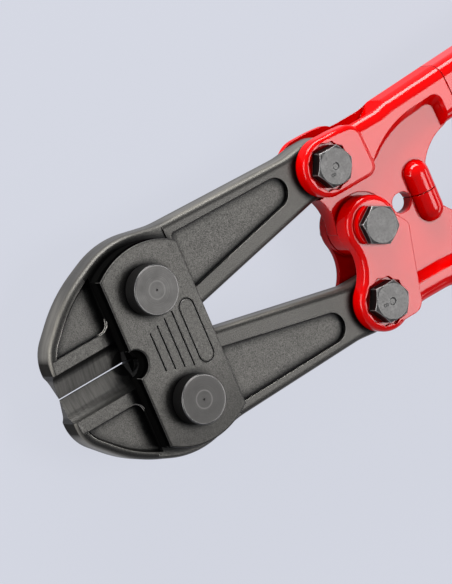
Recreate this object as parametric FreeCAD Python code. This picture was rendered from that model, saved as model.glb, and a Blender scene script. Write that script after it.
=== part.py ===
import FreeCAD, Part

"""Compound-lever bolt cutters, 760 mm class, one solid per physical piece.

The tool is drawn lying flat: x runs from the blade tips back to the grips, y across the
tool, z along the pivot axes, and z = 0 is the mid-plane of the jaws. Upper pieces lie at
+y, lower ones at -y. The finished solids are moved so that the origin is at the middle
of the footprint, on the surface that the tool lies on.
"""

import math
import os

V = FreeCAD.Vector

# ---- linkage: the four pivots on each side of the tool, and the centre one
JAW_PIN = (60.6, 30.15)
ARM_BOLT = (184.0, 37.85)     # axis of the adjusting bolt's head and thread
ECCENTRIC = 0.7               # its journal stands this far off that axis
ARM_PIVOT = (ARM_BOLT[0] + ECCENTRIC, ARM_BOLT[1])
CENTRE = (194.0, 0.0)

# ---- heights, measured from the mid-plane
JAW_Z = 7.7          # forged face of a jaw
JAW_ROUND = 3.5      # rounding of its outer edges
SEAT_Z = 7.0         # machined seat for the side plates, and the lands by the edges
BLADE_Z = 0.3        # half width of the cutting edge
PLATE_IN_Z = 7.1
PLATE_OUT_Z = 17.5
SLOT_Z = 8.0         # half width of the fork slots that hold the jaw arms
TONGUE_Z = 4.7       # half thickness of the centre tongue
TONGUE_SLOT_Z = 5.1
WEB_Z = 5.5          # floor of the lever pockets
RIM_Z = 11.5         # rim and socket of the levers
EAR_FRONT_Z = 16.0
EAR_BACK_Z = -13.0
PIN_HEAD_Z = 26.5

# ---- jaws and side plates
EDGE_GAP = 0.35      # each cutting edge stops this far from the centreline
EDGE_END = 40.0
NOSE_FLOOR_Z = 5.3   # floor of the forged hollow in the nose
NOSE_RIM = 3.7       # width of the rim around it
ARM_END_R = 14.5
PLATE_X = (38.0, 86.3)
PLATE_END_Y = 45.3
PLATE_MID_Y = 53.1
NOTCH_R = 7.4
JAW_TRAVEL = 6.7     # degrees that each jaw opens

# ---- levers
EAR_R = 15.5
WAIST_R = 21.5       # hollow between the two round ends of a lever
TONGUE_R = 15.2
KNUCKLE_CLEAR_R = 17.2
SEAM = 0.2           # each lever stops this far from the centreline when closed
HOLE_X = (214.5, 226.3)   # ends of the relief slot between the levers
HOLE_R = 5.0
HOLE_BACK_Z = -2.0   # the webs are cut thinner around it, from the back
STOP_X = 234.2
STOP_R = 7.2
STOP_LENGTH = 16.7

# ---- handles, drawn along their own axis from the end of the lever
SOCKET_END = (268.5, 39.8)
SOCKET_LENGTH = 15.0
SPLAY = 3.3          # degrees that each handle leans out
TUBE_W, TUBE_H, TUBE_ROUND = 29.0, 23.0, 7.0
TUBE_WALL = 2.0
TUBE_LENGTH = 470.0
TANG_LENGTH = 70.0
CROSS_PINS = (22.0, 52.0)
GRIP_START = 305.0
GRIP_END = 486.0

# ---- bolts
HEX_AF = 19.0
SHANK_R = 6.0
JOURNAL_R = 8.0      # eccentric part of an adjusting bolt, inside the jaw arm
BOLT_FLOOR_Z = 14.4  # floor of the recesses for the adjusting bolts' heads
BOSS_Z = 19.4        # top of the boss that carries the head of the centre bolt
BOSS_R = 11.7
BOSS_TURN = 63.4     # direction that two flats of that boss and head face, in degrees
BOLT_END_Z = -22.2
WASHER_R = 10.5
WASHER_H = 1.2
NUT_H = 6.5          # thin lock nuts
PIN_SHANK_R = 8.0
PIN_HEAD_R = 12.7
OPEN_PIVOT_SLACK = 3.3


# ---------------------------------------------------------------- helpers
def vec(point, z=0.0):
    return V(point[0], point[1], z)


def around(centre, radius, degrees):
    """Point on a circle."""
    a = math.radians(degrees)
    return (centre[0] + radius * math.cos(a), centre[1] + radius * math.sin(a))


def profile(start, *steps):
    """Face from a closed path. A step is a point (straight run) or a pair of points (arc through
    the first to the second)."""
    edges = []
    here = start
    for step in steps + (start,):
        if isinstance(step[0], (int, float)):
            if math.dist(here, step) > 1e-6:
                edges.append(Part.makeLine(vec(here), vec(step)))
            here = step
        else:
            edges.append(Part.Arc(vec(here), vec(step[0]), vec(step[1])).toShape())
            here = step[1]
    return Part.Face(Part.Wire(edges))


def rounded(*corners):
    """Face from corner points (x, y, radius): straight runs joined by tangent arcs."""
    bends = []
    for k, (x, y, radius) in enumerate(corners):
        if radius == 0:
            bends.append(((x, y), None, (x, y)))
            continue
        legs = []
        for other in (corners[k - 1], corners[(k + 1) % len(corners)]):
            length = math.hypot(other[0] - x, other[1] - y)
            legs.append(((other[0] - x) / length, (other[1] - y) / length))
        (ax, ay), (bx, by) = legs
        half = math.acos(ax * bx + ay * by) / 2
        run = radius / math.tan(half)
        inset = (radius / math.sin(half) - radius) / math.hypot(ax + bx, ay + by)
        bends.append(((x + ax * run, y + ay * run),
                      (x + (ax + bx) * inset, y + (ay + by) * inset),
                      (x + bx * run, y + by * run)))
    edges = []
    for k, (enter, middle, leave) in enumerate(bends):
        if middle:
            edges.append(Part.Arc(vec(enter), vec(middle), vec(leave)).toShape())
        following = bends[(k + 1) % len(bends)][0]
        if math.dist(leave, following) > 1e-6:
            edges.append(Part.makeLine(vec(leave), vec(following)))
    return Part.Face(Part.Wire(edges))


def prism(face, low, high):
    solid = face.extrude(V(0, 0, high - low))
    solid.translate(V(0, 0, low))
    return solid


def disc(centre, radius, low, high):
    return Part.makeCylinder(radius, high - low, vec(centre, low))


def hexagon(centre, flats, low, high, turn=0.0):
    corner = flats / math.sqrt(3)
    points = [around(centre, corner, turn + 60 * k) for k in range(6)]
    return prism(profile(*points), low, high)


def hex_head(centre, low, high, turn=0.0):
    """Hex head with its outer corners turned down to a cone, as forged heads are."""
    corner = HEX_AF / math.sqrt(3)
    drop = 4.5 * math.tan(math.radians(30))
    cone = Part.makeCone(corner + 2.6, corner - 1.9, drop, vec(centre, high - drop))
    body = disc(centre, corner + 1, low, high - drop).fuse(cone)
    return hexagon(centre, HEX_AF, low, high, turn).common(body)


def stadium(centre, half_x, half_y, low, high):
    """Bar with round ends along y."""
    x, y = centre
    r = half_x
    run = half_y - r
    return prism(profile((x + r, y - run), (x + r, y + run), ((x, y + run + r), (x - r, y + run)),
                         (x - r, y - run), ((x, y - run - r), (x + r, y - run))), low, high)


def flip_y(shape):
    return shape.mirror(V(0, 0, 0), V(0, 1, 0))


def flip_z(shape):
    return shape.mirror(V(0, 0, 0), V(0, 0, 1))


def both_faces(shape):
    return shape.fuse(flip_z(shape))


def round_edges(shape, radius, wanted):
    """Fillet the edges for which wanted(edge, middle point) is true."""
    edges = []
    for edge in shape.Edges:
        middle = edge.valueAt((edge.FirstParameter + edge.LastParameter) / 2)
        if wanted(edge, middle):
            edges.append(edge)
    return shape.makeFillet(radius, edges)


def flat_at(edge, z):
    return all(abs(v.Z - z) < 1e-4 for v in edge.Vertexes)


# ---------------------------------------------------------------- jaws
def jaw_blank():
    """Outline of the forging: round nose, crown over the pin, straight arm, round arm end. It
    runs a little past the centreline, where the cutting edge is ground afterwards."""
    top, low = ARM_PIVOT[1] + ARM_END_R, ARM_PIVOT[1] - ARM_END_R
    end, end_r = ARM_PIVOT[0] + ARM_END_R, ARM_END_R - 0.01
    return rounded((1.2, -8.0, 0), (-1.2, 22.4, 22.0), (22.2, 45.4, 75.0), (55.6, 59.6, 48.0),
                   (85.4, 53.5, 50.0), (166.5, 51.05, 40.0), (178.0, top, 30.0),
                   (end, top, end_r), (end, low, end_r), (172.3, low, 10.0),
                   (JAW_PIN[0], 0.5, 0), (52.0, -8.0, 0))


def centreline_cut():
    """What the grinder takes off along the centreline: up to the edge, and the heel behind it."""
    outline = profile((-8.0, EDGE_GAP), (40.0, EDGE_GAP), (40.0, 0.5),
                      (JAW_PIN[0], 0.5), (JAW_PIN[0], -10.0), (-8.0, -10.0))
    return prism(outline, -20, 20)


def blade_bevel():
    """Tool that grinds one face: the cutting bevel, the hollow that runs up to the land, and the
    land. The wheel runs out in a slope at the plates' end."""
    section = [(13.0, SEAT_Z), (19.8, SEAT_Z), (19.8, JAW_Z + 1), (-1.0, JAW_Z + 1),
               (-1.0, BLADE_Z), (EDGE_GAP, BLADE_Z), (8.0, 2.18)]
    points = [V(-8.0, y, z) for y, z in section]
    hollow = Part.Arc(points[-1], V(-8.0, 11.15, 3.92), points[0]).toShape()
    face = Part.Face(Part.Wire(Part.makePolygon(points).Edges + [hollow]))
    slope = [V(-9.0, -2.0, 0), V(EDGE_END, -2.0, 0), V(EDGE_END + 6.0, -2.0, 9.0),
             V(-9.0, -2.0, 9.0)]
    run_out = Part.Face(Part.makePolygon(slope + slope[:1])).extrude(V(0, 24.0, 0))
    return face.extrude(V(60.0, 0, 0)).common(run_out)


def nose_hollow():
    """Tool for the forged hollow of the nose: inside the rim, above the land, clear of the plate.
    Its floor meets the rim in a round foot, and the land and the seat in a sharp wall."""
    end = PLATE_X[0] + 0.2
    region = profile((-10.0, 19.7), (end - 5.6, 19.7), ((end - 1.64, 21.34), (end, 25.3)),
                     (end, 70.0), (-10.0, 70.0))
    inside = jaw_blank().makeOffset2D(-NOSE_RIM)
    tool = prism(inside.common(region).Faces[0], NOSE_FLOOR_Z, JAW_Z + 1)

    def by_rim(edge, middle):
        return flat_at(edge, NOSE_FLOOR_Z) and middle.x < end - 6 and middle.y > 20

    return round_edges(tool, 2.0, by_rim)


def plate_seat():
    """Tool that machines the seat of a side plate, with a round corner at the land. Its ends
    lean by the angle that the jaw opens, so that the plate never rides up on the forged face."""
    left = PLATE_X[0] - 0.4
    right = PLATE_X[1] + 0.6
    lean = math.tan(math.radians(JAW_TRAVEL))
    return prism(profile((32.1, 19.6), ((35.99, 21.21), (left, 25.1)), (left, 29.0),
                         (left - 33 * lean, 62.0), (right, 62.0), (right, 31.0),
                         (right + 32 * lean, -1.0), (30.0, -1.0), (30.0, 19.6)),
                 SEAT_Z, JAW_Z + 1)


def arm_pocket():
    """Forged pocket along the arm."""
    outline = profile((89.5, 16.2), (155.0, 30.0), ((161.2, 38.5), (153.0, 45.9)), (91.5, 47.0),
                      ((90.1, 46.4), (89.5, 45.0)))
    return prism(outline, JAW_Z - 2.3, JAW_Z + 1)


def jaw(bolt_hole_r):
    body = prism(jaw_blank(), -JAW_Z, JAW_Z)

    def forged(edge, middle):
        at_face = flat_at(edge, JAW_Z) or flat_at(edge, -JAW_Z)
        return at_face and middle.y > -3 and not (middle.x < JAW_PIN[0] and middle.y < 1)

    body = round_edges(body, JAW_ROUND, forged).cut(centreline_cut())
    for tool in (blade_bevel(), nose_hollow(), plate_seat(), arm_pocket()):
        body = body.cut(tool).cut(flip_z(tool))
    notch = disc((PLATE_X[0], 0), NOTCH_R, 3.0, JAW_Z + 1)
    body = body.cut(notch).cut(flip_z(notch))
    body = body.cut(disc(JAW_PIN, PIN_SHANK_R + 0.05, -20, 20))
    return body.cut(disc(ARM_PIVOT, bolt_hole_r, -20, 20))


# ---------------------------------------------------------------- head: plates and pins
def side_plate(notch_run):
    """Plate with a round notch behind the cutting edges, made deeper by a straight run."""
    left, right = PLATE_X
    hub = left + notch_run
    outline = profile((left, -PLATE_END_Y), ((JAW_PIN[0] + 1.5, -PLATE_MID_Y), (right, -PLATE_END_Y)),
                      (right, PLATE_END_Y), ((JAW_PIN[0] + 1.5, PLATE_MID_Y), (left, PLATE_END_Y)),
                      (left, NOTCH_R), (hub, NOTCH_R), ((hub + NOTCH_R, 0), (hub, -NOTCH_R)),
                      (left, -NOTCH_R))
    plate = prism(outline, PLATE_IN_Z, PLATE_OUT_Z)
    plate = round_edges(plate, 0.9, lambda edge, middle: flat_at(edge, PLATE_OUT_Z))
    for side in (1, -1):
        plate = plate.cut(disc((JAW_PIN[0], side * JAW_PIN[1]), PIN_SHANK_R, 0, 20))
    for k in range(4):
        groove_x = 52.1 + 5.27 * k
        groove_half = 10.5 + 1.5 * k
        plate = plate.cut(stadium((groove_x, 0), 0.45, groove_half, PLATE_OUT_Z - 0.5, 20))
    border = stadium((76.6, 0), 4.7, 17.5, PLATE_OUT_Z - 0.45, 20)
    border = border.cut(stadium((76.6, 0), 3.9, 16.7, 0, 30))
    return plate.cut(border)


def jaw_pin():
    """Headed pin: the back end carries a pressed-on collar of the head's size."""
    shank = disc(JAW_PIN, PIN_SHANK_R, -PIN_HEAD_Z + 1.0, PLATE_OUT_Z + 1)
    head = disc(JAW_PIN, PIN_HEAD_R, PLATE_OUT_Z, PIN_HEAD_Z)
    head = round_edges(head, 0.7, lambda edge, middle: flat_at(edge, PIN_HEAD_Z))
    centre_mark = Part.makeCone(0.0, 0.6, 0.4, vec(JAW_PIN, PIN_HEAD_Z - 0.4))
    return shank.fuse(head).cut(centre_mark)


def pin_collar():
    collar = disc(JAW_PIN, PIN_HEAD_R, -PIN_HEAD_Z, -PLATE_OUT_Z)
    collar = round_edges(collar, 0.7, lambda edge, middle: flat_at(edge, -PIN_HEAD_Z))
    return collar.cut(disc(JAW_PIN, PIN_SHANK_R, -40, 0))


# ---------------------------------------------------------------- levers
def waist_arc(first, second, side):
    """Hollow arc that touches two equal circles. Returns the two tangent points and the middle."""
    mx, my = (first[0] + second[0]) / 2, (first[1] + second[1]) / 2
    half = math.dist(first, second) / 2
    reach = EAR_R + WAIST_R
    rise = math.sqrt(reach * reach - half * half)
    ux, uy = (second[0] - first[0]) / (2 * half), (second[1] - first[1]) / (2 * half)
    hub = (mx + side * uy * rise, my - side * ux * rise)
    touch = []
    for circle in (first, second):
        touch.append((circle[0] + (hub[0] - circle[0]) * EAR_R / reach,
                      circle[1] + (hub[1] - circle[1]) * EAR_R / reach))
    middle = (mx + side * uy * (rise - WAIST_R), my - side * ux * (rise - WAIST_R))
    return touch[0], middle, touch[1]


def handle_point(along, out):
    """Point in the tool's plane, from its distances along and out from the upper handle's axis."""
    c, s = math.cos(math.radians(SPLAY)), math.sin(math.radians(SPLAY))
    return (SOCKET_END[0] + along * c - out * s, SOCKET_END[1] + along * s + out * c)


def rim_outline():
    """Outer rim of a lever from the fork to the end of the socket that carries the tube."""
    half = TUBE_W / 2
    return rounded((186.0, 52.6, 0), (209.0, 50.6, 60.0), (225.0, 50.8, 20.0), (232.0, 52.2, 20.0),
                   (*handle_point(0, half), 0), (*handle_point(0, -half), 0),
                   (*handle_point(-SOCKET_LENGTH, -half), 0), (*handle_point(-SOCKET_LENGTH, 0), 0),
                   (203.0, 23.0, 0), (186.0, 24.0, 0))


def pocket(top_points, floor_points):
    """Pocket with sloping walls, on the front face."""
    solids = []
    top = profile(*top_points).OuterWire
    floor = profile(*floor_points).OuterWire
    top.translate(V(0, 0, RIM_Z))
    floor.translate(V(0, 0, WEB_Z))
    solids.append(Part.makeLoft([floor, top], True, True))
    solids.append(prism(profile(*top_points), RIM_Z, RIM_Z + 12))
    return solids[0].fuse(solids[1])


def upper_pocket():
    top = ((206.0, 23.0), ((222.0, 35.9), (247.0, 42.1)), (256.3, 42.7),
           ((260.8, 40.9), (262.2, 36.5)), (263.2, 12.0), (206.0, 12.0))
    floor = ((212.0, 23.0), ((225.0, 32.3), (245.0, 37.6)), (254.0, 38.4),
             ((257.5, 37.2), (258.6, 34.4)), (259.6, 12.0), (212.0, 12.0))
    return pocket(top, floor)


def lower_pocket():
    top = ((200.0, 39.9), (225.0, 39.9), (256.0, 42.3),
           ((260.6, 40.5), (262.0, 36.2)), (263.0, 12.0), (200.0, 12.0))
    floor = ((200.0, 35.7), (225.0, 35.7), (253.8, 38.1),
             ((257.4, 37.0), (258.5, 34.2)), (259.5, 12.0), (200.0, 12.0))
    return pocket(top, floor)


def web_outline(start_x):
    """Web plate between the rim and the centreline, with the relief slot and the big gap."""
    right, left, r = HOLE_X[1], HOLE_X[0], HOLE_R
    slant = r * math.sqrt(0.5)
    return profile((start_x, SEAM), (start_x, 44.0), (263.0, 46.0), (263.0, 25.0),
                   (260.0, 23.9), ((249.2, 19.2), (242.2, 12.0)), (242.2, SEAM),
                   (right, SEAM), ((right - r + slant, SEAM + slant), (right - r, SEAM + r)),
                   (left + r, SEAM + r), ((left + r - slant, SEAM + slant), (left, SEAM)))


def stop_block():
    """Rounded block on the front face of the web, beside the centreline. It meets its twin when
    the handles are closed."""
    run = STOP_LENGTH - STOP_R
    bar = Part.makeCylinder(STOP_R, run - SEAM, V(STOP_X, SEAM, WEB_Z), V(0, 1, 0))
    dome = Part.makeSphere(STOP_R, V(STOP_X, run, WEB_Z))
    filler = Part.makeBox(2 * STOP_R, run - SEAM, 2 * WEB_Z, V(STOP_X - STOP_R, SEAM, -WEB_Z))
    return bar.fuse([dome, filler])


def handle_section(width, height, rounding, at):
    """Rounded rectangle across the handle axis: width in the tool's plane, height along z."""
    w, h, r = width / 2, height / 2, rounding
    c = r * (1 - math.sqrt(0.5))
    edges = []
    corners = ((1, 1), (-1, 1), (-1, -1), (1, -1))
    for k, (sy, sz) in enumerate(corners):
        enter, leave = (sy * w, sz * (h - r)), (sy * (w - r), sz * h)
        if k % 2:
            enter, leave = leave, enter
        middle = (sy * (w - c), sz * (h - c))
        ends = [V(at, p[0], p[1]) for p in (enter, middle, leave)]
        edges.append(Part.Arc(*ends).toShape())
        ny, nz = corners[(k + 1) % 4]
        following = (ny * (w - r), nz * h) if k % 2 == 0 else (ny * w, nz * (h - r))
        edges.append(Part.makeLine(ends[2], V(at, following[0], following[1])))
    return Part.Wire(edges)


def handle_bar(width, height, rounding, low, high):
    return Part.Face(handle_section(width, height, rounding, low)).extrude(V(high - low, 0, 0))


def on_handle(shape):
    """Put a shape drawn along the x axis on the axis of the upper handle."""
    shape.rotate(V(0, 0, 0), V(0, 0, 1), SPLAY)
    shape.translate(vec(SOCKET_END))
    return shape


def tang():
    width, height = TUBE_W - 2 * TUBE_WALL - 0.2, TUBE_H - 2 * TUBE_WALL - 0.2
    bar = handle_bar(width, height, TUBE_ROUND - TUBE_WALL, -8.0, TANG_LENGTH)
    for x in CROSS_PINS:
        bar = bar.cut(Part.makeCylinder(4.0, 40, V(x, 0, -20)))
    return on_handle(bar)


def lever_half(pocket_tool, web_start):
    """What both levers share: rim, socket, web, stop and tang."""
    rim = prism(rim_outline(), -RIM_Z, RIM_Z)

    def outer(edge, middle):
        at_face = flat_at(edge, RIM_Z) or flat_at(edge, -RIM_Z)
        return at_face and (middle.y > 50 or (middle.x > 256 and middle.y < 27))

    rim = round_edges(rim, TUBE_ROUND, outer)
    rim = rim.cut(pocket_tool).cut(flip_z(pocket_tool))
    web = prism(web_outline(web_start), -WEB_Z, WEB_Z)
    body = rim.fuse([web, stop_block(), tang()])
    return body.cut(disc((sum(HOLE_X) / 2, 0), HOLE_R + 4.0, -20, HOLE_BACK_Z))


def fork_slot(clear_r):
    """Slot that the jaw arm swings in: round root, open to the front, run out by a disc cutter."""
    root = disc(ARM_PIVOT, clear_r, -SLOT_Z, SLOT_Z)
    x, low = ARM_PIVOT[0], ARM_PIVOT[1] - clear_r
    mouth = prism(profile((x, 80.0), (150.0, 80.0), (150.0, low - 4.6), (172.5, low), (x, low)),
                  -SLOT_Z, SLOT_Z)
    run_out = disc((200.0, 82.0), 43.5, -SLOT_Z, SLOT_Z)
    return root.fuse([mouth, run_out])


def twelve_point(centre, low, high):
    """Recess with twelve points, so that the eccentric bolt can be set in steps of 30 degrees."""
    points = []
    for k in range(12):
        points.append(around(centre, 12.8, 30 * k))
        points.append(around(centre, 11.7, 30 * k + 15))
    return prism(profile(*points), low, high)


def ear_pad():
    """Outline of the upper lever's fork ears around the adjusting bolt."""
    left, end_r = ARM_BOLT[0] - EAR_R, EAR_R - 0.3
    return rounded((left, ARM_BOLT[1] + EAR_R, end_r), (194.0, 52.9, 60.0), (208.6, 51.4, 8.5),
                   (209.8, 22.4, 6.0), (left, ARM_BOLT[1] - EAR_R, end_r))


def neck():
    """Neck and tongue of the upper lever: the tongue fills the fork of the lower lever."""
    touch = waist_arc(CENTRE, ARM_BOLT, -1)
    return profile(touch[0], (touch[1], touch[2]), (184.0, 30.0), (204.0, 30.0),
                   (204.0, SEAM), around(CENTRE, EAR_R, 0), (around(CENTRE, EAR_R, 270), touch[0]))


def upper_lever():
    body = lever_half(upper_pocket(), 204.0)
    link = prism(neck(), -WEB_Z, WEB_Z)
    ears = prism(ear_pad(), EAR_BACK_Z, EAR_FRONT_Z)
    ears = round_edges(ears, 2.6, lambda edge, middle: flat_at(edge, EAR_FRONT_Z))
    ears = round_edges(ears, 2.0, lambda edge, middle: flat_at(edge, EAR_BACK_Z))
    body = body.fuse([link, ears])
    body = body.cut(fork_slot(ARM_END_R + 0.7))
    recess = disc(CENTRE, KNUCKLE_CLEAR_R, TONGUE_Z, 20)
    body = body.cut(recess).cut(flip_z(recess))
    trim = disc(CENTRE, EAR_R + 1.0, -TONGUE_Z, TONGUE_Z).cut(disc(CENTRE, TONGUE_R, -20, 20))
    trim = trim.common(Part.makeBox(40, 60, 40, V(170, -58, -20)))
    body = body.cut(trim)
    body = body.cut(twelve_point(ARM_BOLT, BOLT_FLOOR_Z, 20))
    body = body.cut(disc(ARM_BOLT, JOURNAL_R + ECCENTRIC + 0.1, 0, 20))
    body = body.cut(disc(ARM_BOLT, SHANK_R + 0.1, -20, 0))
    return body.cut(disc(CENTRE, JOURNAL_R, -20, 20))


def link_ears():
    """The lower lever's ears, from the centre pivot to the arm bolt: two round ends joined by
    hollow waists, with a plain cheek along the handle side."""
    left = waist_arc(CENTRE, ARM_BOLT, -1)
    right = waist_arc(CENTRE, ARM_BOLT, 1)
    outline = profile(left[0], (left[1], left[2]), (around(ARM_BOLT, EAR_R, 90), right[2]),
                      (right[1], right[0]), (around(CENTRE, EAR_R, 270), left[0]))
    link = prism(outline, EAR_BACK_Z, EAR_FRONT_Z)
    link = round_edges(link, 3.0, lambda edge, middle: flat_at(edge, EAR_FRONT_Z))
    link = round_edges(link, 2.6, lambda edge, middle: flat_at(edge, EAR_BACK_Z))
    cheek = rounded((198.0, 2.0, 0), (209.0, 1.4, 0), (213.5, 8.0, 2.0), (201.8, 51.0, 7.0),
                    (188.0, 51.0, 0))
    return link.fuse(prism(cheek, EAR_BACK_Z, EAR_FRONT_Z))


def centre_boss():
    """Round boss with two flats, flush with flats of the bolt head that stands on it."""
    across = Part.makeBox(40, HEX_AF, 10, V(-20, -HEX_AF / 2, 0))
    across.rotate(V(0, 0, 0), V(0, 0, 1), BOSS_TURN - 90)
    across.translate(vec(CENTRE, EAR_FRONT_Z - 1))
    return disc(CENTRE, BOSS_R, EAR_FRONT_Z - 1, BOSS_Z).common(across)


def lower_lever():
    """Drawn on the upper side and turned over at the end."""
    body = lever_half(lower_pocket(), 192.0)
    body = body.fuse(link_ears())
    body = body.cut(fork_slot(ARM_END_R + OPEN_PIVOT_SLACK + 0.5))
    opening = prism(profile((150.0, -20.0), (194.0, -20.0), CENTRE, (190.5, 19.6), (184.0, 30.0),
                            (150.0, 40.0)), -SLOT_Z, SLOT_Z)
    knuckles = disc(CENTRE, EAR_R, TONGUE_SLOT_Z, SLOT_Z + 0.5)
    body = body.cut(opening)
    body = body.cut(disc(CENTRE, TONGUE_R + 0.7, -SLOT_Z, SLOT_Z))
    body = body.fuse(both_faces(knuckles))
    body = body.cut(twelve_point(ARM_BOLT, BOLT_FLOOR_Z, 20))
    body = body.cut(disc(ARM_BOLT, JOURNAL_R + ECCENTRIC + 0.1, 0, 20))
    body = body.cut(disc(ARM_BOLT, SHANK_R + 0.1, -20, 0))
    body = body.fuse(flip_y(centre_boss()))
    return flip_y(body.cut(disc(CENTRE, SHANK_R + 0.1, -20, 20)))


# ---------------------------------------------------------------- bolts of the linkage
def adjusting_bolt():
    """Eccentric bolt: head and thread turn in the ears, the journal in the arm is off centre."""
    head = hex_head(ARM_BOLT, BOLT_FLOOR_Z, 21.6)
    shank = disc(ARM_BOLT, SHANK_R, BOLT_END_Z, BOLT_FLOOR_Z + 1)
    journal = disc(ARM_PIVOT, JOURNAL_R, 0.1 - SLOT_Z, BOLT_FLOOR_Z)
    dimple = Part.makeCone(1.3, 2.1, 0.5, vec(ARM_BOLT, 21.1))
    return head.fuse([shank, journal]).cut(dimple)


def nut(centre):
    low = WASHER_H - EAR_BACK_Z
    body = flip_z(hex_head(centre, low, low + NUT_H))
    return body.cut(disc(centre, SHANK_R, -40, 40))


def washer(centre):
    ring = disc(centre, WASHER_R, EAR_BACK_Z - WASHER_H, EAR_BACK_Z)
    return ring.cut(disc(centre, SHANK_R + 0.2, -40, 40))


def pivot_bolt():
    head = hex_head(CENTRE, BOSS_Z, 24.0, BOSS_TURN - 30)
    return head.fuse(disc(CENTRE, SHANK_R, BOLT_END_Z, BOSS_Z + 1))


def pivot_bush():
    return disc(CENTRE, JOURNAL_R, -TONGUE_Z, TONGUE_Z).cut(disc(CENTRE, SHANK_R + 0.05, -20, 20))


# ---------------------------------------------------------------- handles
def handle_tube():
    outer = handle_bar(TUBE_W, TUBE_H, TUBE_ROUND, 0.4, TUBE_LENGTH)
    inner = handle_bar(TUBE_W - 2 * TUBE_WALL, TUBE_H - 2 * TUBE_WALL, TUBE_ROUND - TUBE_WALL,
                       -1.0, TUBE_LENGTH + 1)
    tube = outer.cut(inner)
    for x in CROSS_PINS:
        tube = tube.cut(Part.makeCylinder(4.0, 40, V(x, 0, -20)))
    return on_handle(tube)


def cross_pins():
    """Riveted pins through the tube and the tang."""
    pins = []
    for x in CROSS_PINS:
        pin = Part.makeCylinder(4.0, TUBE_H, V(x, 0, -TUBE_H / 2))
        for side in (1, -1):
            head = Part.makeCone(5.6, 3.6, 1.6, V(x, 0, side * TUBE_H / 2), V(0, 0, side))
            pin = pin.fuse(head)
        pins.append(pin)
    return on_handle(Part.makeCompound(pins))


def grip():
    """Moulded sleeve that swells in the palm and flares at both ends."""
    stations = ((0, 33, 28, 10), (12, 35, 30, 11), (40, 34, 29, 11), (90, 37.5, 32, 12),
                (140, 35, 30, 12), (165, 38, 33, 13), (GRIP_END - GRIP_START - 8, 41, 36, 14))
    wires = [handle_section(w, h, r, GRIP_START + s) for s, w, h, r in stations]
    sleeve = Part.makeLoft(wires, True, False)
    return on_handle(sleeve.cut(handle_bar(TUBE_W, TUBE_H, TUBE_ROUND, GRIP_START - 5, 600)))


def grip_collar():
    """Ring that the front edge of the grip butts against."""
    ring = handle_bar(35.0, 30.0, 11.0, GRIP_START - 7, GRIP_START)
    return on_handle(ring.cut(handle_bar(TUBE_W, TUBE_H, TUBE_ROUND, GRIP_START - 9, 600)))


def end_plug():
    """Plug that closes the tube and caps the grip."""
    cap_start = GRIP_END - 8
    wires = [handle_section(w, h, r, cap_start + s) for s, w, h, r in
             ((0, 41, 36, 14), (4, 39.5, 34.5, 14), (8, 34, 29, 12))]
    cap = Part.makeLoft(wires, True, False)
    plug = handle_bar(TUBE_W - 2 * TUBE_WALL, TUBE_H - 2 * TUBE_WALL, TUBE_ROUND - TUBE_WALL,
                      TUBE_LENGTH - 25, TUBE_LENGTH)
    stem = handle_bar(TUBE_W, TUBE_H, TUBE_ROUND, TUBE_LENGTH, cap_start + 1)
    return on_handle(cap.fuse([plug, stem]))


# ---------------------------------------------------------------- assembly
def build():
    upper = {
        "upper_jaw": jaw(JOURNAL_R + 0.05),
        "upper_jaw_pin": jaw_pin(),
        "upper_pin_collar": pin_collar(),
        "upper_adjusting_bolt": adjusting_bolt(),
        "upper_adjusting_washer": washer(ARM_BOLT),
        "upper_adjusting_nut": nut(ARM_BOLT),
        "upper_handle_tube": handle_tube(),
        "upper_cross_pins": cross_pins(),
        "upper_grip": grip(),
        "upper_grip_collar": grip_collar(),
        "upper_end_plug": end_plug(),
    }
    lower = {name.replace("upper", "lower"): flip_y(shape) for name, shape in upper.items()}
    lower["lower_jaw"] = flip_y(jaw(JOURNAL_R + OPEN_PIVOT_SLACK))
    nodes = {**upper, **lower}
    nodes["front_side_plate"] = side_plate(0.0)
    nodes["back_side_plate"] = flip_z(side_plate(6.0))
    nodes["upper_lever"] = upper_lever()
    nodes["lower_lever"] = lower_lever()
    nodes["centre_pivot_bolt"] = pivot_bolt()
    nodes["centre_pivot_washer"] = washer(CENTRE)
    nodes["centre_pivot_nut"] = nut(CENTRE)
    nodes["centre_pivot_bush"] = pivot_bush()
    return nodes


def main():
    nodes = build()
    box = FreeCAD.BoundBox()
    for shape in nodes.values():
        box.add(shape.optimalBoundingBox(False, False))
    move = V(-(box.XMin + box.XMax) / 2, 0, -box.ZMin)
    print("size", round(box.XLength, 2), round(box.YLength, 2), round(box.ZLength, 2))
    print("shift", [round(c, 4) for c in move])
    os.makedirs("parts", exist_ok=True)
    for name, shape in sorted(nodes.items()):
        shape.translate(move)
        if not shape.isValid() or not shape.Solids:
            print("check", name, shape.isValid(), len(shape.Solids))
        shape.exportStep("parts/" + name + ".step")
    print(len(nodes), "nodes")


main()
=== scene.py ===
import math

import bmesh
import bpy
from bpy.props import FloatProperty, FloatVectorProperty, PointerProperty, StringProperty
from mathutils import Matrix, Vector


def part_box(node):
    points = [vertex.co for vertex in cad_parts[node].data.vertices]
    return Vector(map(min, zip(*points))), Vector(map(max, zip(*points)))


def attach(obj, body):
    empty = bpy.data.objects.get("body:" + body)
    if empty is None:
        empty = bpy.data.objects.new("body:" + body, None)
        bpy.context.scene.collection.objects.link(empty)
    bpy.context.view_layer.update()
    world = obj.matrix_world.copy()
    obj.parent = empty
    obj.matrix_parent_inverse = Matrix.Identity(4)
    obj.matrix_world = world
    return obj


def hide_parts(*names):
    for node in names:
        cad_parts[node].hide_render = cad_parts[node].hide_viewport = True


bl_info = {
    "name": "Bolt Cutters",
    "version": (1, 0, 0),
    "blender": (4, 5, 0),
    "location": "3D View > Sidebar > Bolt Cutters",
    "description": "Finishes, grips, threads and studio for compound-lever bolt cutters",
    "category": "Object",
}

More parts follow.
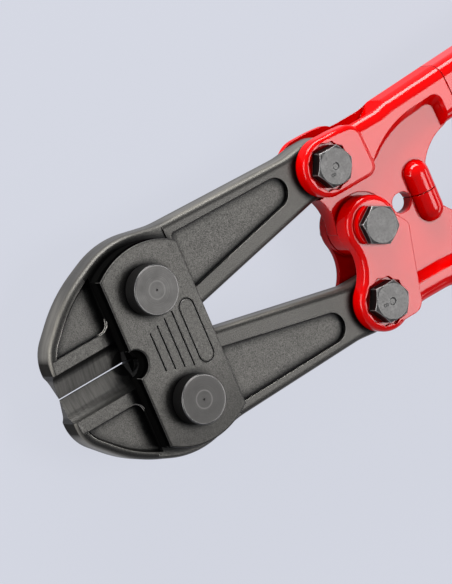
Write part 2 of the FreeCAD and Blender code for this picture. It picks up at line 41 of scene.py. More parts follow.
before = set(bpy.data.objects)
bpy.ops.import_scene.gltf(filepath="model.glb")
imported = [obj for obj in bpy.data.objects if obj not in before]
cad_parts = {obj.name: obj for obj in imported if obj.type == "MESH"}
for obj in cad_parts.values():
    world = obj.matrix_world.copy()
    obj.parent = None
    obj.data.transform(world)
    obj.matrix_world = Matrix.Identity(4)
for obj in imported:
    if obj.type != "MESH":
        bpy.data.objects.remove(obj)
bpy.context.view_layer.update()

SIDES = ("upper", "lower")
# the bolts of the linkage, and the body that each of them moves with
BOLT_BODY = {"upper_adjusting": "upper_handle", "lower_adjusting": "lower_handle",
             "centre_pivot": "lower_handle"}


# ---------------------------------------------------------------- small helpers
MM = 0.001      # a millimetre, in the frame's metres
NOISE_SPAN = (0.3, 0.7)     # nearly all of a noise lies between these
# A Mix node of colours: 0 is its share, 6 and 7 are the two colours, and 2 is the output.
COLOURS = {"data_type": "RGBA"}


def colour(hex_code):
    """Linear colour, with its alpha, from an sRGB hex value."""
    parts = [int(hex_code[k:k + 2], 16) / 255 for k in (1, 3, 5)]
    linear = [p / 12.92 if p <= 0.04045 else ((p + 0.055) / 1.055) ** 2.4 for p in parts]
    return (*linear, 1.0)


def shade(base, *factors):
    """A colour made lighter or darker by one factor, or by one for each channel."""
    factors = factors * 3 if len(factors) == 1 else factors
    return [min(1.0, c * k) for c, k in zip(base, factors)] + [1.0]


def spots(millimetres):
    """Scale of a noise whose spots are about this size."""
    return 0.6 / (millimetres * MM)


def middle(node):
    low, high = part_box(node)
    return (low + high) / 2


def add(tree, kind, settings=None, inputs=(), output=0):
    """Adds a node, and returns one of its outputs, or the node itself where output is None.
    Settings are a dictionary, or the name of the node's operation. Inputs are a dictionary by
    socket, or a tuple in the order of the sockets. Each is a value, or an output to link."""
    made = tree.nodes.new(kind)
    if isinstance(settings, str):
        settings = {"operation": settings}
    for name, value in (settings or {}).items():
        setattr(made, name, value)
    pairs = inputs.items() if isinstance(inputs, dict) else enumerate(inputs)
    for socket, value in pairs:
        if isinstance(value, bpy.types.NodeSocket):
            tree.links.new(value, made.inputs[socket])
        else:
            made.inputs[socket].default_value = value
    return made if output is None else made.outputs[output]


def new_material(name):
    """A material with an empty tree. Returns it, its tree and its Object coordinates."""
    material = bpy.data.materials.new(name)
    material.use_nodes = True
    tree = material.node_tree
    tree.nodes.clear()
    return material, tree, add(tree, "ShaderNodeTexCoord", output="Object")


def finish_material(tree, shader_inputs):
    """Joins the shader, with these inputs, to the output."""
    shader = add(tree, "ShaderNodeBsdfPrincipled", None, shader_inputs)
    add(tree, "ShaderNodeOutputMaterial", None, {"Surface": shader}, None)


def mottled(tree, pattern, first, second, most=1.0, span=NOISE_SPAN):
    """One colour where a pattern is low, which gives way to a second where it is high."""
    share = add(tree, "ShaderNodeMapRange", None, (pattern, *span, 0.0, most))
    return add(tree, "ShaderNodeMix", COLOURS, {0: share, 6: first, 7: second}, 2)


def ragged_line(tree, at, place, millimetres):
    """A place along an axis, shifted to and fro by up to this much, for an uneven border."""
    noise = add(tree, "ShaderNodeTexNoise", None, {"Vector": at, "Scale": spots(2.5)})
    shift = add(tree, "ShaderNodeMapRange", None,
                (noise, *NOISE_SPAN, -millimetres * MM, millimetres * MM))
    return add(tree, "ShaderNodeMath", "ADD", (place, shift))


def relief(tree, pattern, height, edge):
    """Normal of a skin whose pattern stands this high, and whose sharp edges are broken by this
    radius, both in millimetres."""
    broken = add(tree, "ShaderNodeBevel", {"samples": 6}, {"Radius": edge * MM})
    return add(tree, "ShaderNodeBump", None, {
        "Height": pattern, "Distance": height * MM, "Normal": broken})


def sharp_edges(tree, millimetres):
    """1 along sharp edges, over this reach, and 0 on open surfaces."""
    soft = add(tree, "ShaderNodeBevel", {"samples": 6}, {"Radius": millimetres * MM})
    true = add(tree, "ShaderNodeNewGeometry", output="Normal")
    alike = add(tree, "ShaderNodeVectorMath", "DOT_PRODUCT", (soft, true), "Value")
    return add(tree, "ShaderNodeMapRange", None, (alike, 0.97, 0.80, 0.0, 1.0))


def corner_shade(tree, millimetres, most=1.0, full=0.6, clear=0.95):
    """Share of painted shade in inner corners, over this reach. It is full where the share of open
    sky is below full, and gone where it is above clear."""
    open_sky = add(tree, "ShaderNodeAmbientOcclusion", {"samples": 8},
                   {"Distance": millimetres * MM}, "AO")
    return add(tree, "ShaderNodeMapRange", None, (open_sky, full, clear, most, 0.0))


def facing(tree):
    """The X, Y and Z of the way that the surface faces."""
    normal = add(tree, "ShaderNodeNewGeometry", output="Normal")
    return add(tree, "ShaderNodeSeparateXYZ", None, (normal,), None).outputs


def levelness(tree):
    """1 on faces that lie flat, 0 on upright walls."""
    return add(tree, "ShaderNodeMath", "ABSOLUTE", (facing(tree)["Z"],))


def from_axis(tree, at, x, y):
    """Distance of a point from an upright axis, and from its twin on the other side of y = 0."""
    part = add(tree, "ShaderNodeSeparateXYZ", None, (at,), None).outputs
    off_centre = add(tree, "ShaderNodeMath", "ABSOLUTE", (part["Y"],))
    along = add(tree, "ShaderNodeMath", "SUBTRACT", (part["X"], x))
    across = add(tree, "ShaderNodeMath", "SUBTRACT", (off_centre, y))
    flat = add(tree, "ShaderNodeCombineXYZ", None, (along, across))
    return add(tree, "ShaderNodeVectorMath", "LENGTH", (flat,), "Value")


def dress(material, *nodes):
    """Gives CAD nodes this material."""
    for name in nodes:
        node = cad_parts[name]
        node.data.materials.clear()
        node.data.materials.append(material)
        for polygon in node.data.polygons:
            polygon.material_index = 0


def new_object(name, data):
    made = bpy.data.objects.new(name, data)
    bpy.context.scene.collection.objects.link(made)
    return made


def new_piece(name, mesh, material, body):
    piece = new_object(name, mesh)
    mesh.materials.clear()
    mesh.materials.append(material)
    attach(piece, body)
    return piece


def mesh_from(build):
    """Mesh from a bmesh that build() fills, with normals outwards."""
    shape = bmesh.new()
    build(shape)
    bmesh.ops.recalc_face_normals(shape, faces=shape.faces)
    mesh = bpy.data.meshes.new("made")
    shape.to_mesh(mesh)
    shape.free()
    return mesh


def final_mesh(holder):
    """Plain mesh of an object with its modifiers or its text, which is then removed."""
    bpy.context.view_layer.update()
    seen = holder.evaluated_get(bpy.context.evaluated_depsgraph_get())
    mesh = bpy.data.meshes.new_from_object(seen)
    bpy.data.objects.remove(holder)
    return mesh


# ---------------------------------------------------------------- sizes and colours
class FinishColours(bpy.types.PropertyGroup):
    phosphate: FloatVectorProperty(name="Phosphate", description="Phosphated forgings",
                                   subtype="COLOR", size=4, default=colour("#32312f"))
    pin_face: FloatVectorProperty(name="Pin face", description="Turned pin heads",
                                  subtype="COLOR", size=4, default=colour("#3a3938"))
    hex_face: FloatVectorProperty(name="Hex face", description="Blasted hex heads",
                                  subtype="COLOR", size=4, default=colour("#585756"))
    red_coat: FloatVectorProperty(name="Red coat", description="Powder coat of levers and tubes",
                                  subtype="COLOR", size=4, default=colour("#b80000"))
    rubber: FloatVectorProperty(name="Rubber", description="Moulded grips",
                                subtype="COLOR", size=4, default=colour("#232326"))
    bronze: FloatVectorProperty(name="Bronze", description="Pivot bush",
                                subtype="COLOR", size=4, default=colour("#b98b4e"))
    floor: FloatVectorProperty(name="Floor", description="Studio floor",
                               subtype="COLOR", size=4, default=colour("#d8dbe6"))


class GripSizes(bpy.types.PropertyGroup):
    nub_length: FloatProperty(name="Nub length", description="Length of a raised nub",
                              unit="LENGTH", default=0.0042, min=0.001, max=0.01)
    nub_width: FloatProperty(name="Nub width", description="Width of a raised nub",
                             unit="LENGTH", default=0.0022, min=0.001, max=0.01)
    nub_height: FloatProperty(name="Nub height", description="How far a nub stands proud",
                              unit="LENGTH", default=0.0006, min=0.0001, max=0.002)
    row_pitch: FloatProperty(name="Row pitch", description="Distance between rows of nubs",
                             unit="LENGTH", default=0.0045, min=0.002, max=0.02)


class ThreadSizes(bpy.types.PropertyGroup):
    pitch: FloatProperty(name="Pitch", description="Rise of the thread in a turn",
                         unit="LENGTH", default=0.00075, min=0.0003, max=0.003)
    depth: FloatProperty(name="Depth", description="Height of the thread ridge",
                         unit="LENGTH", default=0.00025, min=0.0001, max=0.001)


class StageSizes(bpy.types.PropertyGroup):
    lens: FloatProperty(name="Lens", description="Focal length of the camera, in millimetres",
                        default=360.0, min=20, max=1000)
    tilt: FloatProperty(name="Tilt", description="Lean of the camera from straight above",
                        subtype="ANGLE", default=math.radians(31.0))
    turn: FloatProperty(name="Turn", description="Turn of the tool in the view",
                        subtype="ANGLE", default=math.radians(26.6))
    key: FloatProperty(name="Key light", description="Radiance of the large softbox",
                       default=10.8, min=0, max=40)
    strip: FloatProperty(name="Strip light", description="Radiance of the long strip lamp",
                         default=18.0, min=0, max=60)
    left: FloatProperty(name="Left light", description="Radiance of the low lamp on the left",
                        default=10.0, min=0, max=60)
    rim: FloatProperty(name="Rim light", description="Radiance of the low lamp on the right",
                       default=5.0, min=0, max=60)
    fill: FloatProperty(name="Fill", description="Strength of the surrounding light",
                        default=0.35, min=0, max=5)


class CutterSettings(bpy.types.PropertyGroup):
    finish: PointerProperty(type=FinishColours)
    grip: PointerProperty(type=GripSizes)
    thread: PointerProperty(type=ThreadSizes)
    stage: PointerProperty(type=StageSizes)


# ---------------------------------------------------------------- materials
# Places are in metres. The jaws mirror each other, and their edges meet in the middle, at y = 0.
# The heel is where the grinding of the edges stops. A pair is a border: one finish stops at the
# first, the next is full at the second, and they blend in between.
BEVEL_HALF_WIDTH = 0.0131       # from the middle
BEVEL_FOOT = (0.0094, 0.0108)   # from the middle
HEEL_BEHIND_PLATE = 0.002       # from the front of the side plates
# the painted highlight on the jaws' rims, partly wear, fades out between these
NOSE_WEAR_AND_HIGHLIGHT = (-0.028, -0.018)    # from the heel
HOLLOW_EDGE = 0.0215            # from the middle
LIP_OFFSET = -0.0045            # from the heel to where the hollow's rim meets the plate
LIP_RADIUS = (0.0035, 0.0050)
# the notch behind the edges is painted dark, as painted shade, within these
NOTCH_OFFSET = 0.001            # from the heel to the axis of the notch behind the edges
NOTCH_RADIUS = (0.0065, 0.0085)
# the painted shadow along the foot of the plates lies between these
PLATE_SHADOW_START = (-0.0072, -0.0040)   # from the heel
PLATE_SHADOW_END = 0.004              # from the heel
PLATE_SHADOW_HALF_WIDTH = (0.036, 0.0415)
# painted shade on the outer walls: at their foot, and round the joint
WALL_FOOT_SHADE = (0.0005, 0.0095)     # height over the back of the jaws
JOINT_WALL_SHADE = (0.036, 0.046)      # from the axis of a jaw pin
FORWARDS = (-0.97, -0.90)       # x of the way that a forward wall faces
TEAR_START = 0.0008             # outwards from the middle of a plate's thickness
# the plates darken towards their lower end between these
PLATE_LOWER_DARKENING = (-0.046, -0.012)    # along y, at the plate's lower end
PIN_GROOVE = 0.0045             # radius of the turned groove in a pin's head
GROOVE_SIDE = (0.0001, 0.0005)  # from the middle of that groove
BETWEEN_PINS = (-0.01, 0.01)    # along y
PIN_RIM = 0.01198               # radius at which the head starts to round off
# pale bare steel painted on edges as a highlight
BARE_STEEL_HIGHLIGHT = colour("#dcd8d0")
# near-black painted shade for inner corners
CORNER_SHADE = colour("#060606")
FLAT_SHINE = 0.27               # specular level of the coat on flats and tubes
WALL_SHINE = 0.04               # the same on the walls of a forging


def phosphated_skin(tree, at, base):
    """Colour and crystal pattern of phosphated steel: a matt, dark grey-brown skin."""
    # crystals are 0.05 mm; drawn 0.25 mm wide, the finest that shows
    crystals = add(tree, "ShaderNodeTexNoise", None, {
        "Vector": at, "Scale": spots(0.25), "Detail": 1.0})
    patches = add(tree, "ShaderNodeTexNoise", None, {"Vector": at, "Scale": spots(14.0)})
    grey = mottled(tree, patches, shade(base, 0.85), shade(base, 1.15))
    speckled = mottled(tree, crystals, shade(base, 0.55), shade(base, 2.6))
    return add(tree, "ShaderNodeMix", COLOURS, {0: 0.6, 6: grey, 7: speckled}, 2), crystals


def finish_phosphated(tree, tone, crystals, mirroring, edge):
    """Shader of phosphated steel. Where the mirroring share is low, as on painted shade on walls,
    it neither shines nor mirrors.
    """
    finish_material(tree, {
        "Base Color": tone,
        "Metallic": add(tree, "ShaderNodeMath", "MULTIPLY", (mirroring, 0.85)),
        "Specular IOR Level": add(tree, "ShaderNodeMath", "MULTIPLY", (mirroring, 0.5)),
        "Roughness": add(tree, "ShaderNodeMapRange", None, (crystals, *NOISE_SPAN, 0.5, 0.4)),
        "Normal": relief(tree, crystals, 0.04, edge)})


def ground_bevel(tree, at, off_centre, base):
    """Colour of the cutting bevels: pale, and streaked across by the grinding wheel."""
    # wheel marks are 0.1 mm apart; drawn 0.8 mm apart
    across = add(tree, "ShaderNodeMapping", None, {"Vector": at, "Scale": (1, 0.08, 0.08)})
    marks = add(tree, "ShaderNodeTexNoise", None, {
        "Vector": across, "Scale": spots(0.8), "Detail": 3.0, "Roughness": 0.6})
    streaked = mottled(tree, marks, shade(base, 2.0), shade(base, 3.4))
    # the curved foot of the bevel is painted dark, as painted shade
    foot = add(tree, "ShaderNodeMapRange", None, (off_centre, *BEVEL_FOOT, 0.0, 0.8))
    return add(tree, "ShaderNodeMix", COLOURS, {0: foot, 6: streaked, 7: shade(base, 0.5)}, 2)


def painted_lit_wall(tree, at, height, base):
    """Colour of the forging's outer walls, painted paler in lines as painted light. Their foot and
    the walls round the joint are painted darker, as painted shade."""
    along = add(tree, "ShaderNodeMapping", None, {"Vector": at, "Scale": (0.1, 0.1, 1)})
    lines = add(tree, "ShaderNodeTexNoise", None, {
        "Vector": along, "Scale": spots(1.5), "Detail": 3.0})
    # the walls are painted paler, in lines, as painted light
    brightened = mottled(tree, lines, shade(base, 4.2, 4.1, 3.8), shade(base, 7.8, 7.6, 7.1))
    # painted shade at the foot of the walls and round the joint
    foot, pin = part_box("upper_jaw")[0].z, middle("upper_jaw_pin")
    start, end = (foot + place for place in WALL_FOOT_SHADE)
    low = add(tree, "ShaderNodeMapRange", None, (height, start, end, 1.0, 0.0))
    joint = add(tree, "ShaderNodeMapRange", None,
                (from_axis(tree, at, pin.x, pin.y), *JOINT_WALL_SHADE, 0.7, 0.0))
    shaded_part = add(tree, "ShaderNodeMath", "MAXIMUM", (low, joint))
    return add(tree, "ShaderNodeMix", COLOURS, {0: shaded_part, 6: brightened, 7: shade(base, 1.9)}, 2)


def notch_and_plate_shade(tree, at, along, off_centre, heel):
    """Share of painted shade in the notch behind the edges and of painted shadow, with a ragged
    border, along the foot of the plates."""
    notch = add(tree, "ShaderNodeMapRange", None,
                (from_axis(tree, at, heel + NOTCH_OFFSET, 0.0), *NOTCH_RADIUS, 1.0, 0.0))
    start, end = (heel + place for place in PLATE_SHADOW_START)
    painted_shadow = add(tree, "ShaderNodeMapRange", None,
                 (ragged_line(tree, at, along, 1.2), start, end, 0.0, 0.85))
    within = add(tree, "ShaderNodeMapRange", None, (off_centre, *PLATE_SHADOW_HALF_WIDTH, 1.0, 0.0))
    painted_shadow = add(tree, "ShaderNodeMath", "MULTIPLY", (painted_shadow, within))
    ahead = add(tree, "ShaderNodeMath", "LESS_THAN", (along, heel + PLATE_SHADOW_END))
    painted_shadow = add(tree, "ShaderNodeMath", "MULTIPLY", (painted_shadow, ahead))
    return add(tree, "ShaderNodeMath", "MAXIMUM", (notch, painted_shadow))


def forged_jaw_steel(settings):
    """Phosphated forging with ground bevels: paler and streaked across the cutting edges, and
    painted dark in the notch behind them, as painted shade."""
    material, tree, at = new_material("phosphated_forged_steel")
    base = settings.finish.phosphate
    tone, crystals = phosphated_skin(tree, at, base)
    part = add(tree, "ShaderNodeSeparateXYZ", None, (at,), None).outputs
    off_centre = add(tree, "ShaderNodeMath", "ABSOLUTE", (part["Y"],))
    rise = levelness(tree)

    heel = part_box("front_side_plate")[0].x + HEEL_BEHIND_PLATE
    by_edge = add(tree, "ShaderNodeMath", "LESS_THAN", (off_centre, BEVEL_HALF_WIDTH))
    ahead = add(tree, "ShaderNodeMath", "LESS_THAN", (part["X"], heel))
    ground = add(tree, "ShaderNodeMath", "MULTIPLY", (by_edge, ahead))
    bevel = ground_bevel(tree, at, off_centre, base)
    tone = add(tree, "ShaderNodeMix", COLOURS, {0: ground, 6: tone, 7: bevel}, 2)

    # the corners of the noses, which face forwards, are painted dark as painted shade
    forged = add(tree, "ShaderNodeMath", "SUBTRACT", (1.0, ground))
    forwards = add(tree, "ShaderNodeMapRange", None, (facing(tree)["X"], *FORWARDS, 0.97, 0.0))
    blunt = add(tree, "ShaderNodeMath", "MULTIPLY", (forged, forwards))
    wall = add(tree, "ShaderNodeMix", COLOURS, {
        0: blunt, 6: painted_lit_wall(tree, at, part["Z"], base), 7: shade(base, 0.1)}, 2)
    # upright walls take the wall colour above: painted light, with painted shade
    steep = add(tree, "ShaderNodeMapRange", None, (rise, 0.3, 0.8, 0.9, 0.0))
    upright = add(tree, "ShaderNodeMath", "MULTIPLY", (forged, steep))
    tone = add(tree, "ShaderNodeMix", COLOURS, {0: upright, 6: tone, 7: wall}, 2)

    # the rims are worn bare and carry a painted highlight, most of all towards the tips
    outside = add(tree, "ShaderNodeMath", "GREATER_THAN", (off_centre, HOLLOW_EDGE))
    start, end = (heel + place for place in NOSE_WEAR_AND_HIGHLIGHT)
    nose = add(tree, "ShaderNodeMapRange", None, (part["X"], start, end, 1.0, 0.3))
    rim_toward_tips = add(tree, "ShaderNodeMath", "MULTIPLY", (outside, nose))
    wear_and_highlight = add(tree, "ShaderNodeMath", "MULTIPLY", (sharp_edges(tree, 0.6), rim_toward_tips))
    tone = add(tree, "ShaderNodeMix", COLOURS, {0: wear_and_highlight, 6: tone, 7: BARE_STEEL_HIGHLIGHT}, 2)
    # painted shade in the inner corners
    dirt_and_shade = corner_shade(tree, 5.0, 1.0, 0.74, 0.97)
    tone = add(tree, "ShaderNodeMix", COLOURS, {0: dirt_and_shade, 6: tone, 7: CORNER_SHADE}, 2)
    # painted shade in the notch and painted shadow along the foot of the plates
    painted_shadow = notch_and_plate_shade(tree, at, part["X"], off_centre, heel)
    tone = add(tree, "ShaderNodeMix", COLOURS, {0: painted_shadow, 6: tone, 7: colour("#080808")}, 2)

    # the rim of the hollow carries a painted highlight where it runs under the plate
    reach = from_axis(tree, at, heel + LIP_OFFSET, HOLLOW_EDGE)
    by_plate = add(tree, "ShaderNodeMapRange", None, (reach, *LIP_RADIUS, 1.0, 0.0))
    lip = add(tree, "ShaderNodeMath", "MULTIPLY", (sharp_edges(tree, 0.8), by_plate))
    tone = add(tree, "ShaderNodeMix", COLOURS, {0: lip, 6: tone, 7: BARE_STEEL_HIGHLIGHT}, 2)

    # the forward walls keep their painted shade: there it neither shines nor mirrors
    on_wall = add(tree, "ShaderNodeMath", "LESS_THAN", (rise, 0.5))
    blunt = add(tree, "ShaderNodeMath", "MULTIPLY", (blunt, on_wall))
    mirroring = add(tree, "ShaderNodeMath", "SUBTRACT", (1.0, blunt))
    finish_phosphated(tree, tone, crystals, mirroring, 0.5)
    return material


def sheared_plate_steel(settings, name):
    """Phosphated plate cut on a press: its walls are smooth, and painted nearly black as painted
    shade, and blackest on the outer part, where they tore. It is darker towards its lower end."""
    material, tree, at = new_material("phosphated_sheared_" + name)
    base = settings.finish.phosphate
    tone, crystals = phosphated_skin(tree, at, base)
    part = add(tree, "ShaderNodeSeparateXYZ", None, (at,), None).outputs
    mid = middle(name).z
    out = 1 if mid > middle("upper_jaw").z else -1
    torn = add(tree, "ShaderNodeMath", "GREATER_THAN" if out == 1 else "LESS_THAN",
               (ragged_line(tree, at, part["Z"], 0.6), mid + TEAR_START * out))
    # darker towards the lower end
    lower_darkening = add(tree, "ShaderNodeMapRange", None, (part["Y"], *PLATE_LOWER_DARKENING, 0.6, 0.0))
    tone = add(tree, "ShaderNodeMix", COLOURS, {0: lower_darkening, 6: tone, 7: shade(base, 0.4)}, 2)
    wall = add(tree, "ShaderNodeMath", "LESS_THAN", (levelness(tree), 0.3))
    # the walls are painted nearly black, as painted shade
    cut = add(tree, "ShaderNodeMath", "MULTIPLY", (wall, 0.98))
    tone = add(tree, "ShaderNodeMix", COLOURS, {0: cut, 6: tone, 7: colour("#040404")}, 2)
    tear = add(tree, "ShaderNodeMath", "MULTIPLY", (wall, torn))
    tone = add(tree, "ShaderNodeMix", COLOURS, {0: tear, 6: tone, 7: colour("#020202")}, 2)
    # painted highlight along the sharp edges of the outer part
    wear_and_highlight = add(tree, "ShaderNodeMath", "MULTIPLY", (sharp_edges(tree, 0.35), torn))
    tone = add(tree, "ShaderNodeMix", COLOURS, {0: wear_and_highlight, 6: tone, 7: colour("#8d8b88")}, 2)
    # painted shade in the inner corners
    dirt_and_shade = corner_shade(tree, 5.0)
    tone = add(tree, "ShaderNodeMix", COLOURS, {0: dirt_and_shade, 6: tone, 7: CORNER_SHADE}, 2)
    # the walls keep their painted shade: there it neither shines nor mirrors
    mirroring = add(tree, "ShaderNodeMath", "SUBTRACT", (1.0, wall))
    finish_phosphated(tree, tone, crystals, mirroring, 0.7)
    return material


def turned_steel(settings):
    """Turned and blackened pin: a semi-polished face with the rings that the lathe tool leaves,
    and stains. The lower pin is a little darker."""
    material, tree, at = new_material("turned_blackened_steel")
    base = settings.finish.pin_face
    pin = middle("upper_jaw_pin")
    radius = from_axis(tree, at, pin.x, pin.y)
    # tool rings are 0.3 mm apart; drawn 0.9 mm apart, or 1100 in a metre, of uneven depth
    rings = add(tree, "ShaderNodeTexNoise", {"noise_dimensions": "1D"}, {
        "W": radius, "Scale": 1100.0, "Detail": 3.0, "Roughness": 0.7})
    stains = add(tree, "ShaderNodeTexNoise", None, {
        "Vector": at, "Scale": spots(4.0), "Detail": 4.0, "Roughness": 0.6})
    specks = add(tree, "ShaderNodeTexNoise", None, {"Vector": at, "Scale": spots(0.5)})
    tone = mottled(tree, rings, shade(base, 0.6), shade(base, 1.25), 1.0, (0.35, 0.65))
    tone = mottled(tree, stains, tone, shade(base, 0.5), 0.7)
    part = add(tree, "ShaderNodeSeparateXYZ", None, (at,), None).outputs
    lower = add(tree, "ShaderNodeMapRange", None, (part["Y"], *BETWEEN_PINS, 0.65, 0.0))
    tone = add(tree, "ShaderNodeMix", COLOURS, {0: lower, 6: tone, 7: shade(base, 0.4)}, 2)
    offset = add(tree, "ShaderNodeMath", "SUBTRACT", (radius, PIN_GROOVE))
    away = add(tree, "ShaderNodeMath", "ABSOLUTE", (offset,))
    groove = add(tree, "ShaderNodeMapRange", None, (away, *GROOVE_SIDE, 0.5, 0.0))
    tone = add(tree, "ShaderNodeMix", COLOURS, {0: groove, 6: tone, 7: shade(base, 1.5)}, 2)
    # handling keeps the rounded rim of the head bright
    by_rim = add(tree, "ShaderNodeMath", "GREATER_THAN", (radius, PIN_RIM))
    rounded = add(tree, "ShaderNodeMath", "GREATER_THAN", (levelness(tree), 0.1))
    brightened = add(tree, "ShaderNodeMath", "MULTIPLY", (by_rim, rounded))
    tone = add(tree, "ShaderNodeMix", COLOURS, {0: brightened, 6: tone, 7: colour("#565554")}, 2)
    dull = add(tree, "ShaderNodeMapRange", None, (rings, *NOISE_SPAN, 0.3, 0.46))
    polish = add(tree, "ShaderNodeMath", "MULTIPLY", (brightened, 0.12))
    pits = add(tree, "ShaderNodeMapRange", None, (specks, *NOISE_SPAN, 0.0, 0.4))
    surface = add(tree, "ShaderNodeMath", "ADD", (rings, pits))
    finish_material(tree, {
        "Base Color": tone, "Metallic": 0.9,
        "Roughness": add(tree, "ShaderNodeMath", "SUBTRACT", (dull, polish)),
        "Normal": add(tree, "ShaderNodeBump", None, {"Height": surface, "Distance": 0.02 * MM})})
    return material


def blasted_steel(settings):
    """Blasted and blackened bolt head: a mottled grey tooth with bright corners, partly wear and
    partly painted highlight.
    """
    material, tree, at = new_material("blasted_blackened_steel")
    base = settings.finish.hex_face
    # the blasting's pits are 0.1 mm; drawn 0.7 mm wide so that they show
    tooth = add(tree, "ShaderNodeTexNoise", None, {
        "Vector": at, "Scale": spots(0.7), "Roughness": 0.6})
    stains = add(tree, "ShaderNodeTexNoise", None, {
        "Vector": at, "Scale": spots(2.6), "Detail": 3.0})
    tone = mottled(tree, tooth, shade(base, 0.3), shade(base, 1.6))
    tone = mottled(tree, stains, tone, shade(base, 0.5), 0.6)
    # walls of the head are painted nearly black, as painted shade
    wall = add(tree, "ShaderNodeMath", "LESS_THAN", (levelness(tree), 0.3))
    tone = add(tree, "ShaderNodeMix", COLOURS, {0: wall, 6: tone, 7: shade(base, 0.07)}, 2)
    # bright sharp edges: partly wear and partly painted highlight
    wear_and_highlight = sharp_edges(tree, 1.1)
    tone = add(tree, "ShaderNodeMix", COLOURS, {0: wear_and_highlight, 6: tone, 7: colour("#c4c3c1")}, 2)
    finish_material(tree, {
        "Base Color": tone, "Metallic": 0.85,
        "Roughness": add(tree, "ShaderNodeMapRange", None, (tooth, *NOISE_SPAN, 0.38, 0.58)),
        "Normal": relief(tree, tooth, 0.06, 0.4)})
    return material


def stamped_recess():
    """Bottom of a stamped figure: oiled black oxide, painted dark also as the shade inside the
    figure, with a faint grain.
    """
    material, tree, at = new_material("oiled_and_shaded_stamp")
    dirt_and_shade = add(tree, "ShaderNodeTexNoise", None, {"Vector": at, "Scale": spots(0.5)})
    finish_material(tree, {
        "Base Color": mottled(tree, dirt_and_shade, colour("#0c0c0c"), colour("#242322")),
        "Metallic": 0.4,
        "Roughness": add(tree, "ShaderNodeMapRange", None, (dirt_and_shade, *NOISE_SPAN, 0.45, 0.6))})
    return material


def powder_coat(settings, name, wall_shine=None):
    """Glossy polyester powder coat: a wet shine over saturated red, with a faint orange peel.
    The walls of a forging shine less than its flats, as its scale shows through the coat."""
    material, tree, at = new_material(name)
    base = settings.finish.red_coat
    # orange peel waves are 2 to 3 mm long
    peel = add(tree, "ShaderNodeTexNoise", None, {
        "Vector": at, "Scale": spots(2.6), "Detail": 1.0})
    dust = add(tree, "ShaderNodeTexNoise", None, {"Vector": at, "Scale": spots(25.0)})
    tone = mottled(tree, dust, shade(base, 0.94), shade(base, 1.03))
    # the coat is painted darker in the inner corners, as painted shade
    coat_corner_shade = corner_shade(tree, 2.0, 0.6)
    tone = add(tree, "ShaderNodeMix", COLOURS, {0: coat_corner_shade, 6: tone, 7: shade(base, 0.3)}, 2)
    shine = FLAT_SHINE
    if wall_shine is not None:
        shine = add(tree, "ShaderNodeMapRange", None,
                    (levelness(tree), 0.1, 0.5, wall_shine, FLAT_SHINE))
    finish_material(tree, {
        "Base Color": tone, "Specular IOR Level": shine,
        "Roughness": add(tree, "ShaderNodeMapRange", None, (peel, *NOISE_SPAN, 0.08, 0.12)),
        "Normal": relief(tree, peel, 0.008, 0.7)})
    return material


def bearing_bronze(settings):
    """Turned tin bronze of the pivot bush: warm and softly bright."""
    material, tree, at = new_material("bearing_bronze")
    base = settings.finish.bronze
    marks = add(tree, "ShaderNodeTexNoise", None, {
        "Vector": at, "Scale": spots(0.8), "Detail": 3.0})
    finish_material(tree, {
        "Base Color": mottled(tree, marks, shade(base, 0.7), base), "Metallic": 1.0,
        "Roughness": add(tree, "ShaderNodeMapRange", None, (marks, *NOISE_SPAN, 0.25, 0.4))})
    return material


def moulded(name, base, roughness):
    """Rubber or plastic from a spark-eroded mould: matt, with a fine leathery tooth."""
    material, tree, at = new_material(name)
    # the mould's tooth is 0.2 mm; drawn 0.7 mm wide, or 1400 in a metre, so that it shows
    tooth = add(tree, "ShaderNodeTexVoronoi", None, {"Vector": at, "Scale": 1400.0}, "Distance")
    bloom = add(tree, "ShaderNodeTexNoise", None, {"Vector": at, "Scale": spots(20.0)})
    uneven = add(tree, "ShaderNodeMapRange", None,
                 (bloom, *NOISE_SPAN, roughness - 0.06, roughness + 0.06))
    finish_material(tree, {
        "Base Color": mottled(tree, bloom, shade(base, 0.8), shade(base, 1.3)),
        "Roughness": uneven, "IOR": 1.5, "Normal": relief(tree, tooth, 0.04, 0.5)})
    return material


def painted_floor(settings):
    """Painted studio floor: plain and pale to the eye and in what mirrors it, with a soft shadow
    under the tool."""
    material, tree, at = new_material("painted_studio_floor")
    base = settings.finish.floor
    clouds = add(tree, "ShaderNodeTexNoise", None, {"Vector": at, "Scale": spots(300.0)})
    paint = mottled(tree, clouds, shade(base, 0.44), shade(base, 0.46))
    rays = add(tree, "ShaderNodeLightPath", output=None).outputs
    seen = add(tree, "ShaderNodeMath", "MAXIMUM", (rays["Is Camera Ray"], rays["Is Glossy Ray"]))
    seen = add(tree, "ShaderNodeMath", "MAXIMUM", (seen, rays["Is Transmission Ray"]))
    glow = add(tree, "ShaderNodeMath", "MULTIPLY", (seen, 0.88))
    matt = add(tree, "ShaderNodeBsdfDiffuse", None, {"Color": paint})
    light = add(tree, "ShaderNodeEmission", None, {"Color": base})
    mixed = add(tree, "ShaderNodeMixShader", None, (glow, matt, light))
    add(tree, "ShaderNodeOutputMaterial", None, {"Surface": mixed}, None)
    return material


class FinishHead(bpy.types.Operator):
    """Phosphated steel on the jaws and the side plates"""
    bl_idname = "boltcutters.finish_head"
    bl_label = "Finish jaws and plates"

    def execute(self, context):
        settings = context.scene.bolt_cutters
        dress(forged_jaw_steel(settings), "upper_jaw", "lower_jaw")
        for name in ("front_side_plate", "back_side_plate"):
            dress(sheared_plate_steel(settings, name), name)
        return {"FINISHED"}


class FinishPins(bpy.types.Operator):
    """Turned steel on the jaw pins and their collars"""
    bl_idname = "boltcutters.finish_pins"
    bl_label = "Finish pins"

    def execute(self, context):
        steel = turned_steel(context.scene.bolt_cutters)
        for side in SIDES:
            dress(steel, side + "_jaw_pin", side + "_pin_collar")
        return {"FINISHED"}


